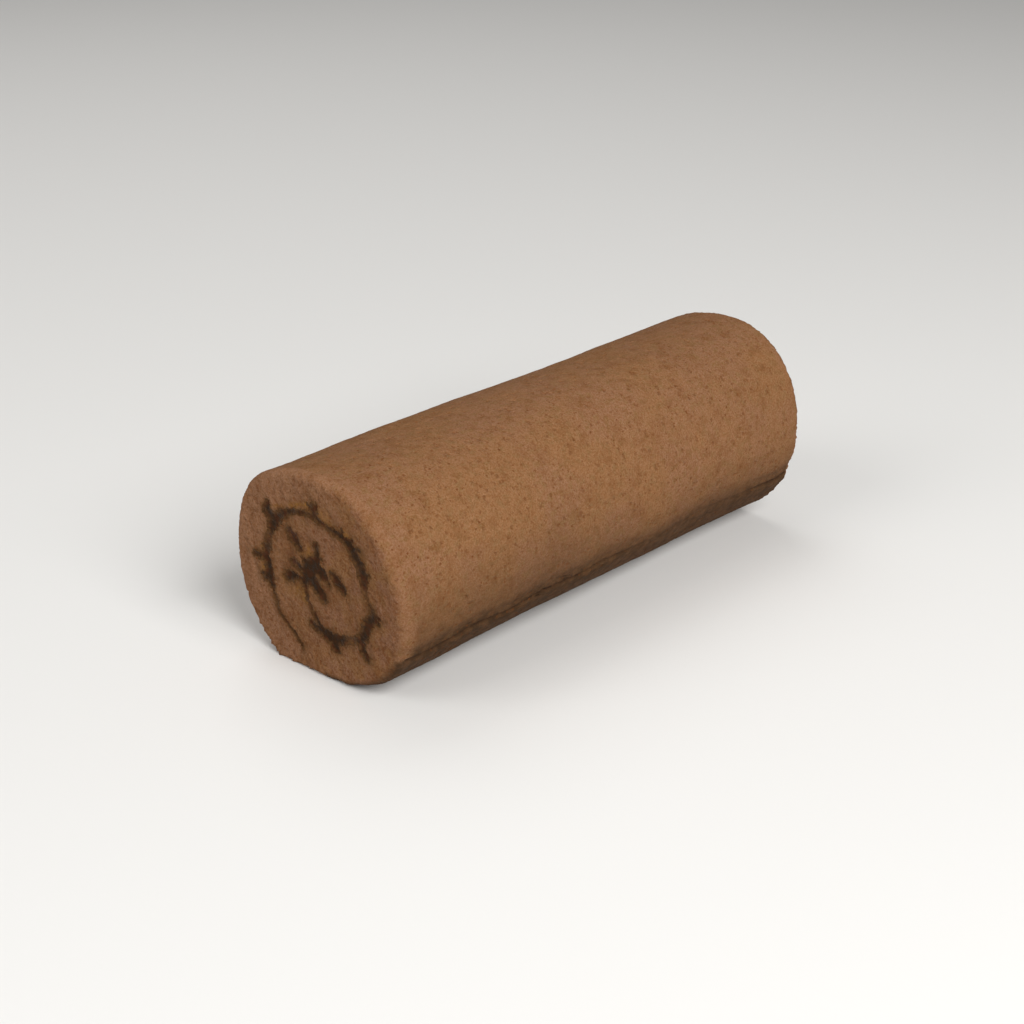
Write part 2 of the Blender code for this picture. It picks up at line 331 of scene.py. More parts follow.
# How far a point of the skin may lie out of its row, away from the ends and from the base.
STRAY, STRAY_ENDS, STRAY_OVER = 0.26, 0.04, 0.5

# Waves left by rolling: height, radians turned through along the roll, lobes round it, start.
SWELL_WAVES = ((0.35, 5.0, 2, 0.0), (0.21, 11.0, -3, 1.0))
WANDER, WANDER_SIZE = 2.2, 15.0     # how far the inner turns shift towards the far end, and in what lumps
SKIN_LUMPS = ((19.0, 0.22), (6.0, 0.08), (2.2, 0.06), (1.1, 0.06))      # size and height
LUMPS_FROM, TEETH_FROM = 0.75, 0.93         # how far out, as a share of the radius, lumps and teeth begin
# Heights over the base between which waves, lumps and seam come in, then the teeth, then the swells.
WAVES_OVER, TEETH_OVER, SWELLS_OVER = (0.3, 4.0), (-0.6, 0.8), (-1.0, 1.5)
# Places where a hand pressed the roll or let it swell: share of the length, direction in degrees,
# reach along and round the roll, and height.
SWELLS = (
    (0.45, 62.0, 34.0, 16.0, 0.55), (0.72, 70.0, 14.0, 12.0, 0.25), (0.2, 150.0, 26.0, 14.0, 0.3),
    (0.0, -56.0, 14.0, 8.0, 1.2), (0.0, -116.0, 14.0, 6.0, -0.7),
)

RIM_SHARP, RIM_SOFT = 1.2, 3.1      # smallest and largest radius of the rim round a cut face
SOFT_SIDE = 165.0           # direction in which the front rim is softest, in degrees
RIM_RING, RIM_UNEVEN = 4.0, 0.3     # radius in lumps of the ring of noise round the rim, and its height
TEETH = ((0.5, 1.0), (1.1, 0.9), (3.2, 0.5))        # size of the crumbs at the rim, and their height
NOTCH = -0.1                # how deep the gaps between them are
TEETH_REACH, TEETH_FADE = 5.0, 1.3          # how far from a cut face they stand, and how soon they fade
FRONT_WHOLE, FRONT_TORN = 0.03, 1.4         # how strong they are round the front rim, and where it is torn
FAR_WHOLE, FAR_TORN = 0.16, 0.25            # the same round the far rim
TORN_FROM, TORN_TO = (35.0, 44.0), (75.0, 85.0)     # where the front rim is torn, degrees below level
FAR_CRUMBLED = 195.0        # direction in which the far rim is torn most, in degrees
FAR_BULGE = 1.1             # how far the far face's crumb swelled out
FOOT, FOOT_HEIGHT = 0.8, 5.0        # how far the front face's foot is squeezed out, and its height

CUT_LUMPS = ((14.0, 0.35), (5.0, 0.18), (2.0, 0.18), (1.0, 0.16))       # size and height
CUT_BY_DEPTH = (0.4, 0.6, 0.0, 1.5)         # their share at the rim, how much more inside, and where
FOOT_RAGGED, RAGGED_BELOW = 0.8, 2.5        # how much rougher the cut is at the base, and how far up
CUT_PORES, CUT_PORES_FROM = 0.12, 0.8       # share of the crumb's points that are open pores, and from where
CUT_PORE_SHALLOW, CUT_PORE_DEEP = 0.10, 0.38
PORES = ((0.040, 0.33, 0.15), (0.045, 0.27, 0.22), (0.012, 0.16, 0.32))  # share, rim, depth
PORE_SHORT, PORE_LONG, PORE_OVER = 0.70, 2.5, 0.6   # edges of the faces that can be pores, and height
CROWDING, CROWD_SIZE = 0.9, 9.0     # how unevenly the pores are spread, and in what lumps
FRONT_CROWDING, CROWDED = 0.5, (-70.0, -30.0)       # how many more there are near the front, and where

# Painted shade on the low seamed side of the skin: how dark it is by the height over the seam, near the
# front and towards the far end.
SHADE_FRONT = ((-14.0, 0.86), (-4.0, 0.90), (-1.5, 0.95), (1.0, 0.87), (3.0, 0.71), (7.5, 0.49),
               (12.0, 0.36), (18.0, 0.19), (26.0, 0.0))
SHADE_FAR = ((-14.0, 0.80), (-3.0, 0.84), (0.0, 0.80), (3.0, 0.54), (6.0, 0.30), (10.0, 0.15), (17.0, 0.0))
SHADE_CHANGES = (0.3, 0.6)  # shares of the length between which the one gives way to the other
SHADE_STARTS = (-2.0, 4.5)  # how far from the front it comes in over the seam
SHADE_RIM = (0.3, 2.6)      # how deep under the skin it ends on the front cut face
UNDERSIDE_SHADE, UNDER_HEIGHT = 0.5, (1.0, 9.0)   # how dark the painted shade is under the roll, and up to what height
SEAM_ANGLE = math.atan2(SEAM_AT[1] - AXIS_HEIGHT, SEAM_AT[0])
SEAM_RUN = (                # share of the length, height of the crease over its middle height
    (0.0, -1.0), (0.04, -2.0), (0.11, -1.4), (0.16, 0.0), (0.24, -1.2), (0.32, 1.2), (0.42, 0.2),
    (0.46, 1.2), (0.62, -0.6), (0.76, 2.0), (0.92, 0.2), (0.97, 0.0), (1.0, 1.8),
)
CREASE = (0.55, 0.0, 0.36)      # depth, height over the seam and width of the crease itself
HOLLOW = (0.55, 2.2, 1.9)       # of the hollow over it
LIP = (-0.24, -2.2, 1.7)        # and of the tail's lip, which stands out
CREASE_SHADE_WIDTH = 0.45              # how wide the painted shade in the crease is
# Shares of the length between which the seam closes and opens again, and how nearly it closes.
CLOSES, OPENS, CLOSED = (0.45, 0.62), (0.84, 0.94), 0.75

# Strength and reach of the stain close to the cream, and of the wide one round it.
STAIN, STAIN_REACH, HALO, HALO_REACH = 0.6, 0.55, 0.34, 1.9
FAR_FROM_CREAM = 9.0        # a distance at which neither stain shows
# Where the cream soaked away and left only a brown trace: (y, z, reach, share that is gone).
SOAKED_AWAY = (
    (7.3, 38.8, 3.4, 0.5), (7.8, 30.9, 1.8, 0.6), (-18.8, 30.8, 2.8, 0.75), (3.4, 19.8, 3.2, 0.5),
    (16.9, 35.0, 2.4, 0.5), (17.6, 17.6, 2.6, 0.4), (-10.6, 15.2, 2.4, 0.5), (-17.8, 37.2, 3.4, 0.35),
    (13.6, 42.4, 3.0, 0.35), (0.0, 47.6, 4.5, 0.3), (18.6, 30.6, 2.4, 0.3),
)
MOST_GONE, STAIN_LOST = 0.9, 0.8    # the most that is gone, and how much of the stain goes with it
# How dry, and so how pale, the crumb is: its share at first, how much more there is, and between
# which two places, by the depth under the skin, by y on either side, and by the height.
DRY_BY_DEPTH, DRY_BY_HEIGHT = (1.0, -0.65, 6.0, 13.0), (0.35, 0.65, 5.0, 20.0)
DRY_SEAM_SIDE, DRY_OTHER_SIDE = (0.0, 1.0, -18.0, -4.0), (1.0, 0.6, 4.0, 14.0)
CRUMB_SHOWS = (0.3, 2.4)    # how deep under the skin a cut face's baked colour ends

# Fat and cocoa that soaked into the crumb: (y, z, reach, strength) of amber and of reddish spots,
# and one thin amber line between the tips of two lumps of cream.
AMBER = (
    (7.0, 22.8, 2.5, 0.8), (5.4, 21.0, 1.2, 0.8), (11.0, 21.2, 1.8, 0.35), (1.2, 36.6, 1.4, 1.0),
    (3.8, 35.6, 1.3, 0.9), (-6.0, 48.4, 2.0, 0.6), (5.0, 47.6, 1.8, 0.5), (0.6, 49.2, 1.6, 0.6),
    (-14.4, 46.4, 1.4, 0.9), (-9.0, 47.0, 1.2, 0.4), (21.4, 25.3, 1.5, 0.8), (-6.6, 33.6, 1.0, 0.5),
    (13.2, 24.6, 1.6, 0.4), (20.0, 31.5, 1.2, 0.4), (-15.5, 9.5, 1.6, 0.3),
)
ROSY = (
    (-4.8, 27.5, 1.1, 0.9), (8.0, 38.6, 2.6, 0.6), (7.6, 31.6, 1.7, 0.8), (-18.6, 31.6, 1.3, 0.7),
    (-3.4, 24.6, 1.2, 0.6), (12.6, 25.0, 1.3, 0.5), (4.0, 19.4, 1.0, 0.6), (17.0, 13.0, 1.6, 0.4),
    (-12.0, 18.0, 2.6, 0.3), (0.8, 16.4, 2.0, 0.4), (7.0, 33.6, 1.5, 0.5), (9.4, 32.6, 1.2, 0.4),
    (5.6, 28.8, 1.2, 0.6), (9.2, 28.8, 1.2, 0.5), (21.6, 25.6, 1.6, 0.55),
)
AMBER_LINE = ((14.7, 44.6, 0.0), (10.9, 46.2, 0.0), (6.0, 47.8, 0.0), (2.0, 49.2, 0.0), (-1.4, 50.4, 0.0))
LINE_STRENGTH, LINE_REACH = 0.8, 0.5


def ride_on_roll(points):
    """Place (0 to 1 along the roll, y, z) of the drawing on the real roll, in millimetres."""
    along, y, z = points.T
    angle = np.arctan2(z - AXIS_HEIGHT, y)
    reach = np.maximum(np.hypot(y, z - AXIS_HEIGHT), 1e-6)
    out = np.minimum(reach / outline_radius(angle), 1.0)
    space = np.column_stack([along * LENGTH, y, z])
    shallow = out > LUMPS_FROM
    grow = np.zeros(len(points))
    for height, turn, lobes, start in SWELL_WAVES:
        grow += height * np.sin(turn * along + lobes * angle + start) * out ** 2
    rough = np.zeros(len(points))
    for size, height in SKIN_LUMPS:
        rough[shallow] += height * lumps(space[shallow], size, 30.0 + size)
    grow += rough * out ** 8
    grow -= seam_depth(along, angle) * out ** 10
    grow *= smooth_step(z, *WAVES_OVER)
    edge = crumble(space, along, angle, out > TEETH_FROM) * smooth_step(z, *TEETH_OVER)
    for share, turned, reach_along, reach_round, height in SWELLS:
        off = (angle - math.radians(turned) + math.pi) % math.tau - math.pi
        edge += height * np.exp(-((along - share) * LENGTH / reach_along) ** 2
                                - (off * RADIUS / reach_round) ** 2) * smooth_step(z, *SWELLS_OVER)
    grow += edge * out ** 8
    y = y * (1.0 + grow / reach) * (1.0 + (FAR_WIDTH - 1.0) * along)
    z = (AXIS_HEIGHT + (z - AXIS_HEIGHT) * (1.0 + grow / reach)) * (1.0 + (FAR_HEIGHT - 1.0) * along)
    wander = along * (1.0 - out ** 2) * WANDER
    y = y + wander * lumps(on_section(points[:, 1:]), WANDER_SIZE, 51.0)
    z = np.maximum(z + wander * lumps(on_section(points[:, 1:]), WANDER_SIZE, 57.0), 0.0)
    depth = distance_to(points[:, 1:], [closed_line])
    round_rim = np.column_stack([along, RIM_RING * np.cos(angle), RIM_RING * np.sin(angle)])
    soft = (1.0 + np.cos(angle - math.radians(SOFT_SIDE))) / 2.0 * (1.0 - along)
    rim = (RIM_SHARP + (RIM_SOFT - RIM_SHARP) * soft) * (1.0 + RIM_UNEVEN * lumps(round_rim, 1.0, 61.0))
    inner = rim - np.clip(depth, 0.0, rim)
    round_off = rim - np.sqrt(rim ** 2 - inner ** 2)
    front = -LENGTH / 2 - LEAN * (z - HALF_HEIGHT) - FOOT * np.exp(-(z / FOOT_HEIGHT) ** 2) + round_off
    x = front * (1.0 - along) + (LENGTH / 2 + FAR_BULGE - round_off) * along
    return np.column_stack([x, y, z]), depth


def crumble(space, along, angle, where):
    """Crumbs that stand out of the skin close to the cut faces, most of all where a rim is torn."""
    from_end = np.minimum(along, 1.0 - along) * LENGTH
    below = -np.degrees(angle)
    torn = smooth_step(below, *TORN_FROM) * (1.0 - smooth_step(below, *TORN_TO))
    far_worst = (1.0 + np.cos(angle - math.radians(FAR_CRUMBLED))) / 2.0
    strength = np.where(along < 0.5, FRONT_WHOLE + FRONT_TORN * torn, FAR_WHOLE + FAR_TORN * far_worst ** 6)
    chosen = where & (from_end < TEETH_REACH)
    teeth = np.zeros(len(space))
    for size, height in TEETH:
        teeth[chosen] += height * (np.maximum(lumps(space[chosen], size, 43.0 + size), NOTCH) + NOTCH)
    return strength * teeth * np.exp(-from_end / TEETH_FADE)


def over_seam(along, angle):
    """Height over the seam, measured along the skin."""
    wander = np.interp(along, *np.array(SEAM_RUN).T)
    turn = (angle - SEAM_ANGLE + math.pi) % math.tau - math.pi
    return -turn * RADIUS - wander


def seam_strength(along):
    """The seam is open at the front, nearly closed past the middle, and open at the far end."""
    closed = smooth_step(along, *CLOSES) * (1.0 - smooth_step(along, *OPENS))
    return 1.0 - CLOSED * closed


def seam_depth(along, angle):
    over = over_seam(along, angle)
    return seam_strength(along) * sum(
        depth * np.exp(-((over - centre) / width) ** 2) for depth, centre, width in (CREASE, HOLLOW, LIP))


def cut_relief(placed):
    """How far the crumb of a cut face lies under the knife's plane."""
    return sum(height * lumps(placed, size, 70.0 + size) for size, height in CUT_LUMPS)


def graded(value, start, more, low, high):
    """A share that is start up to the first place, and grows by more until the second."""
    return start + more * smooth_step(value, low, high)


def lies_on_cut(along):
    """Which points lie on one of the two cut faces."""
    return (along < 1e-4) | (along > 1.0 - 1e-4)


def soaked_away(section_points):
    """The share of the cream that soaked away at each point of the section."""
    return np.clip(spots(section_points, SOAKED_AWAY), 0.0, MOST_GONE)


def stray(drawn, on_skin):
    """Let the skin's points stray a little along and round it, so that its pores don't stand in rows."""
    along, across, up = drawn[:, 0], drawn[:, 1], drawn[:, 2] - AXIS_HEIGHT
    spread = STRAY * on_skin * (drawn[:, 2] > STRAY_OVER)
    spread *= smooth_step(np.minimum(along, 1.0 - along), 0.0, STRAY_ENDS)
    turn = draw.uniform(-1.0, 1.0, len(drawn)) * spread / RADIUS
    along = along + draw.uniform(-1.0, 1.0, len(drawn)) * spread / LENGTH
    return np.column_stack([along, across - turn * up, AXIS_HEIGHT + up + turn * across])


def sponge_looks(drawn, depth, on_cut, on_skin):
    """What the sponge's material reads at each point: values from 0 to 1, by their names."""
    along, y, z = drawn.T
    section_points = drawn[:, 1:]
    field = np.full(len(drawn), FAR_FROM_CREAM)
    field[on_cut] = distance_to(section_points[on_cut], all_strokes) - frayed(section_points[on_cut])
    soak = STAIN * np.exp(-np.maximum(field, 0.0) / STAIN_REACH) + HALO * np.exp(-(field / HALO_REACH) ** 2)
    from_line = distance_to(section_points, [np.array(AMBER_LINE)])
    amber = spots(section_points, AMBER) + LINE_STRENGTH * np.exp(-(from_line / LINE_REACH) ** 2)
    dry = on_cut * graded(depth, *DRY_BY_DEPTH) * graded(y, *DRY_SEAM_SIDE) * graded(y, *DRY_OTHER_SIDE)

    # Painted shade on the low seamed side, which also rolls over the front rim onto the cut face below the
    # seam.
    over = over_seam(along, np.arctan2(z - AXIS_HEIGHT, y))
    to_far = smooth_step(along, *SHADE_CHANGES)
    seam_shade = (1.0 - to_far) * np.interp(over, *np.array(SHADE_FRONT).T) \
        + to_far * np.interp(over, *np.array(SHADE_FAR).T)
    seam_shade *= y < 0.0
    seam_shade *= np.where(over > 0.0, smooth_step(along * LENGTH, *SHADE_STARTS),
                      1.0 - on_cut * smooth_step(depth, *SHADE_RIM))
    by_front_rim = on_cut & (depth < SHADE_RIM[1]) & (along < 0.5)
    # Painted shade low on the skin, under the roll.
    under = UNDERSIDE_SHADE * (1.0 - smooth_step(z, *UNDER_HEIGHT)) * on_skin
    return {
        "soak": soak * (1.0 - STAIN_LOST * soaked_away(section_points)),
        "amber": np.clip(amber, 0.0, 1.0) * on_cut,
        "rosy": np.clip(spots(section_points, ROSY), 0.0, 1.0) * on_cut,
        "cut": on_cut * smooth_step(depth, *CRUMB_SHOWS),
        "dry": dry * graded(z, *DRY_BY_HEIGHT),
        # shade is painted shade: on the low seamed side and under the roll.
        "shade": np.maximum(seam_shade * (on_skin | by_front_rim), under),
        # Painted shade in the seam's crease.
        "crease": seam_strength(along) * np.exp(-(over / CREASE_SHADE_WIDTH) ** 2) * on_skin,
    }


def sponge_mesh():
    bm = run_through(0, SPONGE_SKIN_CUTS)
    drawn = np.array([vert.co for vert in bm.verts])
    ends = END_RINGS / (SPONGE_SKIN_CUTS + 1), END_REACH / LENGTH
    rows, places = [(0.0, end, 1.0 - end, 1.0) for end in ends]
    drawn[:, 0] = np.interp(drawn[:, 0], rows, places)
    on_cut = lies_on_cut(drawn[:, 0])
    on_skin = ~on_cut & lies_on_skin(drawn[:, 1:])
    drawn = stray(drawn, on_skin)
    placed, depth = ride_on_roll(drawn)

    relief = np.zeros(len(placed))
    ragged_foot = FOOT_RAGGED * (1.0 - smooth_step(placed[on_cut, 2], 0.0, RAGGED_BELOW))
    relief[on_cut] = cut_relief(placed[on_cut]) * (graded(depth[on_cut], *CUT_BY_DEPTH) + ragged_foot)
    pores = on_cut & (depth > CUT_PORES_FROM) & (draw.random(len(placed)) < CUT_PORES)
    pore_depth = np.where(pores, draw.uniform(CUT_PORE_SHALLOW, CUT_PORE_DEEP, len(placed)), 0.0)
    placed[:, 0] += np.where(drawn[:, 0] < 0.5, 1.0, -1.0) * (relief + pore_depth)

    # The pore value marks where painted shade goes in the open pores of the cut faces; open_pores adds the
    # skin's pits.
    values = {"pore": pore_depth / CUT_PORE_DEEP, **sponge_looks(drawn, depth, on_cut, on_skin)}
    layers = {name: bm.verts.layers.float.new(name) for name in values}
    for vert, place, *row in zip(bm.verts, placed, *values.values()):
        vert.co = place
        for layer, value in zip(layers.values(), row):
            vert[layer] = value
    bmesh.ops.recalc_face_normals(bm, faces=bm.faces)
    open_pores(bm, layers["pore"])
    return bm


def can_be_pore(face):
    """Whether a face is one of the skin's four-sided ones, wide enough for a pore, and off the base."""
    lengths = [edge.calc_length() for edge in face.edges]
    return (len(lengths) == 4 and min(lengths) > PORE_SHORT and max(lengths) < PORE_LONG
            and face.calc_center_median().z > PORE_OVER)


def open_pores(bm, pore_layer):
    """Sink small pits into the skin, of a few sizes, anywhere but on the base and in the crease."""
    skin = [face for face in bm.faces if can_be_pore(face)]
    middles = np.array([face.calc_center_median() for face in skin])
    crowding = 1.0 + CROWDING * lumps(middles, CROWD_SIZE, 47.0)
    crowding += FRONT_CROWDING * (1.0 - smooth_step(middles[:, 0], *CROWDED))
    draws = draw.random(len(skin)) / crowding
    low = 0.0
    for share, rim, depth in PORES:
        chosen = [face for face, value in zip(skin, draws) if low <= value < low + share]
        low += share
        bmesh.ops.inset_individual(bm, faces=chosen, thickness=rim, depth=-depth)
        # Mark the pits for the painted shade in them.
        for face in chosen:
            for vert in face.verts:
                vert[pore_layer] = 1.0


def add_node(tree, kind, inputs=(), **settings):
    """Add a node, set it up, and give its inputs values or other nodes' outputs."""
    made = tree.nodes.new(kind)
    for name, value in settings.items():
        setattr(made, name, value)
    for key, value in dict(inputs).items():
        if isinstance(value, bpy.types.NodeSocket):
            tree.links.new(value, made.inputs[key])
        else:
            made.inputs[key].default_value = value
    return made


def mix_colour(tree, factor, first, second, blend="MIX"):
    first, second = [(*value, 1.0) if isinstance(value, tuple) else value for value in (first, second)]
    made = add_node(tree, "ShaderNodeMix", {0: factor, 6: first, 7: second}, data_type="RGBA",
                    blend_type=blend)
    return made.outputs[2]


def sums(tree, operation, *values):
    made = add_node(tree, "ShaderNodeMath", dict(enumerate(values)), operation=operation)
    return made.outputs[0]


def ranged(tree, value, low, high, to_low=0.0, to_high=1.0):
    """Map a value smoothly from one range to another, and no further."""
    made = add_node(tree, "ShaderNodeMapRange", {0: value, 1: low, 2: high, 3: to_low, 4: to_high},
                    interpolation_type="SMOOTHSTEP")
    return made.outputs[0]


def noise_at(tree, place, size, detail=2.0, roughness=0.5):
    """Noise in lumps of about size metres."""
    made = add_node(tree, "ShaderNodeTexNoise", {"Vector": place, "Scale": 1.0 / size, "Detail": detail,
                                                 "Roughness": roughness})
    return made.outputs["Fac"]


def attribute(tree, name):
    return add_node(tree, "ShaderNodeAttribute", attribute_name=name).outputs["Fac"]


def crumb_pores(tree, place, cell, smallest, largest, soft):
    """Round pores of many sizes, one in some of the cells: 1 in a pore, 0 between them."""
    cells = add_node(tree, "ShaderNodeTexVoronoi", {"Vector": place, "Scale": 1.0 / cell})
    pick = add_node(tree, "ShaderNodeSeparateColor", {0: cells.outputs["Color"]})
    size = ranged(tree, pick.outputs[0], 0.4, 1.0, smallest, largest)
    return ranged(tree, sums(tree, "SUBTRACT", size, cells.outputs["Distance"]), 0.0, soft)


TAN_WARM = (0.223, 0.106, 0.045)
TAN_ROSY = (0.220, 0.106, 0.052)
TAN_OLIVE = (0.193, 0.099, 0.040)
TAN_DEEP = (0.160, 0.065, 0.022)
CRUMB_GOLD = (0.202, 0.096, 0.039)
CRUMB_PINK = (0.203, 0.097, 0.050)
CRUMB_DEEP = (0.150, 0.060, 0.021)
CRUMB_DRY = (0.245, 0.121, 0.062)
SOAKED = (0.100, 0.046, 0.016)
AMBER_CRUMB = (0.202, 0.092, 0.023)
ROSY_CRUMB = (0.110, 0.038, 0.018)
# The colour of the painted shade in the pores and pits.
PORE_SHADE_COLOUR = (0.120, 0.038, 0.010)
DARK_SPECK, PALE_SPECK = (0.80, 0.72, 0.60), (1.15, 1.22, 1.34)
# The colour that the painted shade on the low seamed side and under the roll darkens the sponge to.
SEAM_SHADE_COLOUR = (0.052, 0.026, 0.0115)
# The colour of the painted shade in the seam's crease.
CREASE_SHADE_COLOUR = (0.024, 0.010, 0.004)
# The pores that are too fine for the mesh: distance apart in metres, then smallest and largest size
# and softness of the edge as shares of it. The rest is how strong the painted shade is in each kind and in
# the mesh's own pits.
FINE_PORES, FINE_PORE_SHADE = (0.0010, 0.0, 0.33, 0.15), 0.65
MID_PORES, MID_PORE_SHADE = (0.0015, 0.0, 0.29, 0.12), 0.88
WIDE_PORES, WIDE_PORE_SHADE = (0.0032, 0.0, 0.14, 0.06), 0.85
PIT_SHADE = 0.4
PUSH, PUSH_SIZE = 0.0009, 1.0 / 1100.0      # how far the pores are pushed out of round, in what lumps


def sponge_material():
    """Baked sponge: matte, mottled tan, soaked brown beside the cream, with painted shade in pores, seam and
    underside.
    """
    material = bpy.data.materials.new("baked_sponge")
    material.use_nodes = True
    tree = material.node_tree
    shader = tree.nodes["Principled BSDF"]
    place = add_node(tree, "ShaderNodeTexCoord").outputs["Object"]

    broad = noise_at(tree, place, 0.017, 2.0)
    patchy = noise_at(tree, place, 0.0042, 3.0, 0.6)
    tint = noise_at(tree, place, 0.0019, 2.0)
    grain = noise_at(tree, place, 0.0005, 2.0, 0.65)
    off_middle = sums(tree, "SUBTRACT", noise_at(tree, place, 0.0013, 2.0, 0.6), 0.5)
    fibres = ranged(tree, sums(tree, "ABSOLUTE", off_middle), 0.0, 0.04, 1.0, 0.0)
    push = add_node(tree, "ShaderNodeTexNoise", {"Vector": place, "Scale": 1.0 / PUSH_SIZE})
    warped = add_node(tree, "ShaderNodeVectorMath", {0: push.outputs["Color"], 1: (PUSH,) * 3, 2: place},
                      operation="MULTIPLY_ADD").outputs[0]
    clumps = ranged(tree, noise_at(tree, place, 0.0065, 2.0), 0.38, 0.62, 0.4, 1.0)
    fine_pores = sums(tree, "MULTIPLY", crumb_pores(tree, warped, *FINE_PORES), FINE_PORE_SHADE)
    mid_pores = sums(tree, "MULTIPLY", crumb_pores(tree, warped, *MID_PORES), clumps)
    wide_pores = crumb_pores(tree, warped, *WIDE_PORES)

    colour = mix_colour(tree, ranged(tree, broad, 0.38, 0.62), TAN_WARM, TAN_ROSY)
    colour = mix_colour(tree, ranged(tree, tint, 0.45, 0.70, 0.0, 0.8), colour, TAN_OLIVE)
    cut = attribute(tree, "cut")
    crumb_tint = ranged(tree, noise_at(tree, place, 0.006, 2.0), 0.4, 0.6)
    colour = mix_colour(tree, cut, colour, mix_colour(tree, crumb_tint, CRUMB_GOLD, CRUMB_PINK))
    colour = mix_colour(tree, sums(tree, "MULTIPLY", attribute(tree, "dry"), 0.8), colour, CRUMB_DRY)
    deep = mix_colour(tree, cut, TAN_DEEP, CRUMB_DEEP)
    colour = mix_colour(tree, ranged(tree, patchy, 0.45, 0.75, 0.0, 0.6), colour, deep)
    pale = sums(tree, "ADD", ranged(tree, grain, 0.22, 0.78, -0.1, 0.9), sums(tree, "MULTIPLY", fibres, 0.5))
    colour = mix_colour(tree, 1.0, colour, mix_colour(tree, pale, DARK_SPECK, PALE_SPECK), "MULTIPLY")
    rosy = sums(tree, "MULTIPLY", attribute(tree, "rosy"), ranged(tree, patchy, 0.35, 0.6, 0.4, 1.0))
    colour = mix_colour(tree, rosy, colour, ROSY_CRUMB)
    blotchy = noise_at(tree, place, 0.0028, 3.0, 0.6)
    soak = sums(tree, "POWER", attribute(tree, "soak"), ranged(tree, blotchy, 0.38, 0.62, 0.55, 2.0))
    colour = mix_colour(tree, soak, colour, SOAKED)
    amber = sums(tree, "MULTIPLY", attribute(tree, "amber"), ranged(tree, tint, 0.38, 0.58, 0.3, 1.0))
    colour = mix_colour(tree, amber, colour, AMBER_CRUMB)
    # Painted shade on the low seamed side and under the roll, made blotchy by noise.
    blotched = ranged(tree, noise_at(tree, place, 0.0024, 3.0, 0.65), 0.36, 0.64, 1.16, 0.88)
    colour = mix_colour(tree, sums(tree, "MULTIPLY", attribute(tree, "shade"), blotched), colour, SEAM_SHADE_COLOUR)
    # Painted shade in the pores: those too small for the mesh, dots on the cut faces, and the mesh's own
    # pits.
    pitted = ranged(tree, noise_at(tree, place, 0.0013, 2.5), 0.54, 0.70, 0.0, 0.5)
    dark = sums(tree, "MAXIMUM", fine_pores, sums(tree, "MULTIPLY", mid_pores, MID_PORE_SHADE))
    dark = sums(tree, "MAXIMUM", dark, sums(tree, "MULTIPLY", wide_pores, WIDE_PORE_SHADE))
    dark = sums(tree, "MAXIMUM", dark, sums(tree, "MULTIPLY", attribute(tree, "pore"), PIT_SHADE))
    dark = sums(tree, "MAXIMUM", dark, sums(tree, "MULTIPLY", pitted, cut))
    colour = mix_colour(tree, dark, colour, PORE_SHADE_COLOUR)
    # Painted shade in the seam's crease.
    crease = sums(tree, "MULTIPLY", attribute(tree, "crease"), ranged(tree, patchy, 0.35, 0.6, 0.9, 0.4))
    colour = mix_colour(tree, crease, colour, CREASE_SHADE_COLOUR)

    height = sums(tree, "SUBTRACT", sums(tree, "ADD", sums(tree, "MULTIPLY", grain, 0.8), fibres),
                  sums(tree, "MULTIPLY", dark, 0.8))
    bump = add_node(tree, "ShaderNodeBump", {"Strength": 0.45, "Distance": 0.0002, "Height": height})
    tree.links.new(colour, shader.inputs["Base Color"])
    tree.links.new(bump.outputs[0], shader.inputs["Normal"])
    tree.links.new(ranged(tree, patchy, 0.3, 0.7, 0.84, 0.96), shader.inputs["Roughness"])
    shader.inputs["Specular IOR Level"].default_value = 0.08
    shader.inputs["Subsurface Weight"].default_value = 0.10
    shader.inputs["Subsurface Radius"].default_value = (0.0010, 0.0005, 0.0003)
    shader.inputs["Subsurface Scale"].default_value = 1.0
    return material


def finish_piece(name, bm, material, node):
    """Make the piece's object, in metres, set it to ride on the root body, and hide the model's part that it
    stands for.
    """
    bmesh.ops.translate(bm, vec=(*SHIFT, 0.0), verts=bm.verts)
    bmesh.ops.scale(bm, vec=(MM, MM, MM), verts=bm.verts)
    bmesh.ops.recalc_face_normals(bm, faces=bm.faces)
    mesh = bpy.data.meshes.new(name)
    bm.to_mesh(mesh)
    bm.free()
    mesh.shade_smooth()
    mesh.materials.append(material)
    piece = bpy.data.objects.new(name, mesh)
    bpy.context.scene.collection.objects.link(piece)
    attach(piece, "root")
    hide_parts(node)


finish_piece("rolled_sponge", sponge_mesh(), sponge_material(), "sponge")


# ==================================================================================================
# The cocoa cream: a thin, dark, sticky layer, squeezed to threads where the sheet pressed hardest
# and into lumps where it didn't. On the cut faces it lies a little lower than the crumb, torn
# rough by the knife, with wet smooth spots between.
# ==================================================================================================
CREAM_SUNK = 0.35           # how far the middle of the cream's cut lies under the crumb's
SINKS = (-0.1, 0.6)         # from how far outside its edge to how far inside it gets there
CREAM_LUMPS = ((3.0, 0.18), (1.3, 0.22), (0.7, 0.16))       # size and height
COCOA_DARK = (0.023, 0.0095, 0.0026)
COCOA_LIGHT = (0.060, 0.0270, 0.0100)
COCOA_RED = (0.072, 0.0235, 0.0090)


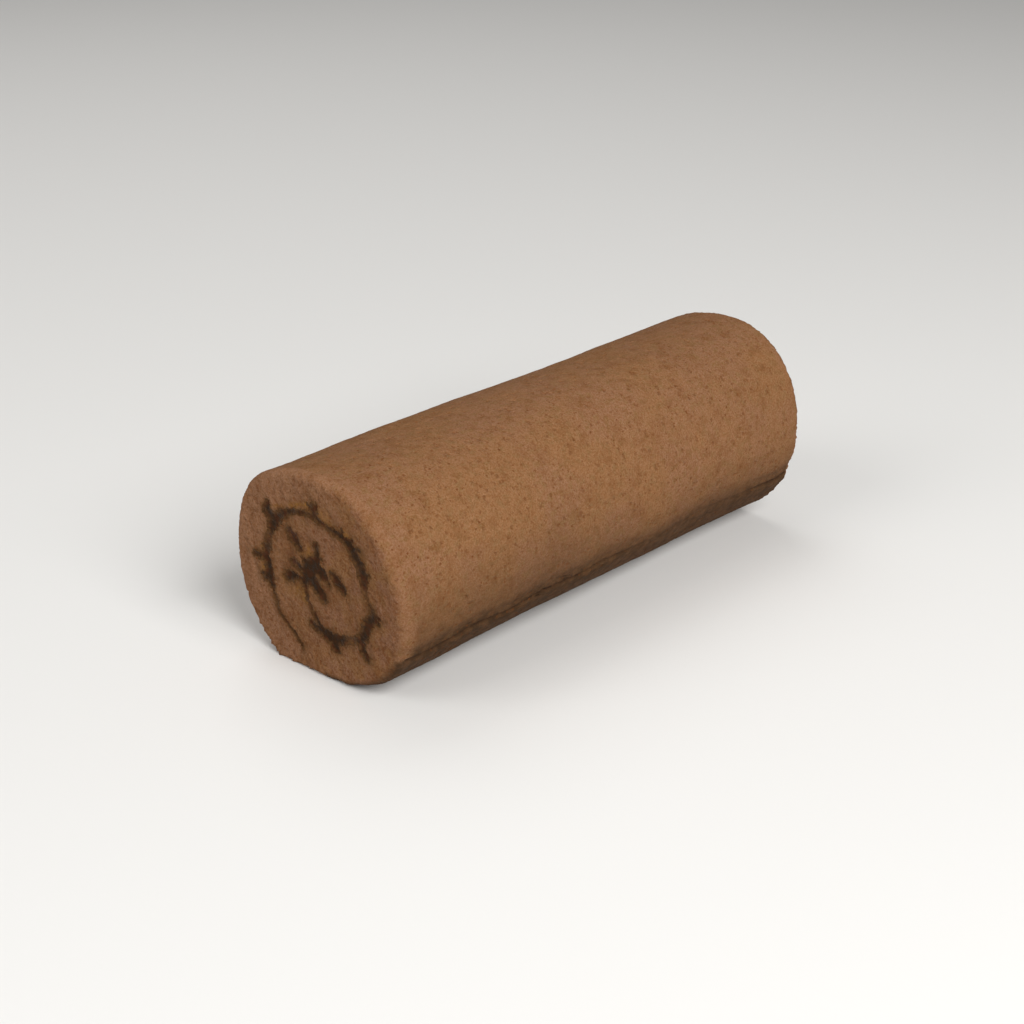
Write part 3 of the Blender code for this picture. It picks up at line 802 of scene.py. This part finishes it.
def cream_mesh(kind):
    bm = run_through(kind, 0)
    drawn = np.array([vert.co for vert in bm.verts])
    placed, _ = ride_on_roll(drawn)
    inside = frayed(drawn[:, 1:]) - distance_to(drawn[:, 1:], all_strokes)
    on_cut = lies_on_cut(drawn[:, 0])
    relief = np.zeros(len(placed))
    flat = placed[on_cut]
    sunk = CREAM_SUNK + sum(height * lumps(flat, size, 90.0 + size) for size, height in CREAM_LUMPS)
    relief[on_cut] = cut_relief(flat) + sunk * smooth_step(inside[on_cut], *SINKS)
    placed[:, 0] += np.where(drawn[:, 0] < 0.5, 1.0, -1.0) * relief
    gone = soaked_away(drawn[:, 1:])
    thick, trace = [bm.verts.layers.float.new(layer) for layer in ("thick", "trace")]
    for vert, place, value, lost in zip(bm.verts, placed, np.maximum(inside, 0.0), gone):
        vert.co = place
        vert[thick] = value * (1.0 - lost)
        vert[trace] = lost
    return bm


def cream_material():
    """Cocoa cream: dark brown in the thick, paler where it is thin, satin where it is wet."""
    material = bpy.data.materials.new("cocoa_cream")
    material.use_nodes = True
    tree = material.node_tree
    shader = tree.nodes["Principled BSDF"]
    place = add_node(tree, "ShaderNodeTexCoord").outputs["Object"]
    patchy = noise_at(tree, place, 0.0021, 3.0, 0.6)
    grain = noise_at(tree, place, 0.0006, 3.0, 0.65)
    thick = sums(tree, "ADD", attribute(tree, "thick"), ranged(tree, grain, 0.25, 0.75, -0.3, 0.3))
    trace = attribute(tree, "trace")
    thin = mix_colour(tree, ranged(tree, trace, 0.3, 0.7, 0.0, 0.3), SOAKED, CRUMB_GOLD)
    reddish = sums(tree, "MAXIMUM", ranged(tree, patchy, 0.48, 0.62), ranged(tree, trace, 0.25, 0.5))
    light = mix_colour(tree, reddish, COCOA_LIGHT, COCOA_RED)
    colour = mix_colour(tree, ranged(tree, thick, 0.0, 0.7), thin, light)
    dark = sums(tree, "MULTIPLY", ranged(tree, thick, 0.4, 1.4), ranged(tree, patchy, 0.38, 0.62, 1.0, 0.5))
    colour = mix_colour(tree, dark, colour, COCOA_DARK)
    bump = add_node(tree, "ShaderNodeBump", {"Strength": 0.8, "Distance": 0.0003, "Height": grain})
    tree.links.new(colour, shader.inputs["Base Color"])
    tree.links.new(bump.outputs[0], shader.inputs["Normal"])
    tree.links.new(ranged(tree, patchy, 0.36, 0.6, 0.40, 0.80), shader.inputs["Roughness"])
    shader.inputs["Specular IOR Level"].default_value = 0.07
    return material


cocoa_cream = cream_material()
for kind, node in enumerate(("cream", *STREAKS), start=1):
    finish_piece(f"cocoa_{node}", cream_mesh(kind), cocoa_cream, node)
section.free()


# ==================================================================================================
# The stage: a plain pale floor, soft studio lights, and the camera, which looks down on the front
# cut face and the seamed side at once.
# ==================================================================================================
FLOOR_HALF = 3.0            # metres, as are the places and sizes of the lights
FLOOR_COLOUR = (0.74, 0.73, 0.71)
ROLL_MIDDLE = (0.0, 0.0, 0.03)
STUDIO_COLOUR, STUDIO_STRENGTH = (1.0, 0.99, 0.97), 0.20


def make_floor():
    bm = bmesh.new()
    bmesh.ops.create_grid(bm, x_segments=1, y_segments=1, size=FLOOR_HALF)
    mesh = bpy.data.meshes.new("floor")
    bm.to_mesh(mesh)
    bm.free()
    material = bpy.data.materials.new("pale_floor")
    material.use_nodes = True
    shader = material.node_tree.nodes["Principled BSDF"]
    shader.inputs["Base Color"].default_value = (*FLOOR_COLOUR, 1.0)
    shader.inputs["Roughness"].default_value = 0.8
    shader.inputs["Specular IOR Level"].default_value = 0.2
    mesh.materials.append(material)
    floor = bpy.data.objects.new("floor", mesh)
    bpy.context.scene.collection.objects.link(floor)


def soft_light(name, place, size, watts):
    """A square area light that faces the roll."""
    lamp = bpy.data.lights.new(name, "AREA")
    lamp.shape = "SQUARE"
    lamp.size = size
    lamp.energy = watts
    light = bpy.data.objects.new(name, lamp)
    light.location = place
    light.rotation_mode = "QUATERNION"
    light.rotation_quaternion = (Vector(ROLL_MIDDLE) - Vector(place)).to_track_quat("-Z", "Y")
    bpy.context.scene.collection.objects.link(light)


make_floor()
soft_light("key", (-0.30, -1.00, 0.80), 0.7, 19.5)
soft_light("fill", (-1.10, 0.30, 0.90), 0.8, 6.2)
soft_light("back", (0.25, 0.70, 1.10), 0.9, 4.0)

world = bpy.data.worlds.new("studio")
world.use_nodes = True
background = world.node_tree.nodes["Background"]
background.inputs["Color"].default_value = (*STUDIO_COLOUR, 1.0)
background.inputs["Strength"].default_value = STUDIO_STRENGTH
bpy.context.scene.world = world
bpy.context.scene.view_settings.view_transform = "Standard"

CAMERA_PLACE = (-0.3544, -0.3313, 0.2401)
CAMERA_LOOK = (0.65903, 0.63027, -0.41041)
CAMERA_LENS, CAMERA_SENSOR = 67.18, 36.0    # focal length and width of the sensor, in millimetres

lens = bpy.data.cameras.new("camera")
lens.lens = CAMERA_LENS
lens.sensor_width = CAMERA_SENSOR
lens.clip_start = 0.01
camera = bpy.data.objects.new("camera", lens)
camera.location = CAMERA_PLACE
camera.rotation_mode = "QUATERNION"
camera.rotation_quaternion = Vector(CAMERA_LOOK).to_track_quat("-Z", "Y")
bpy.context.scene.collection.objects.link(camera)
bpy.context.scene.camera = camera
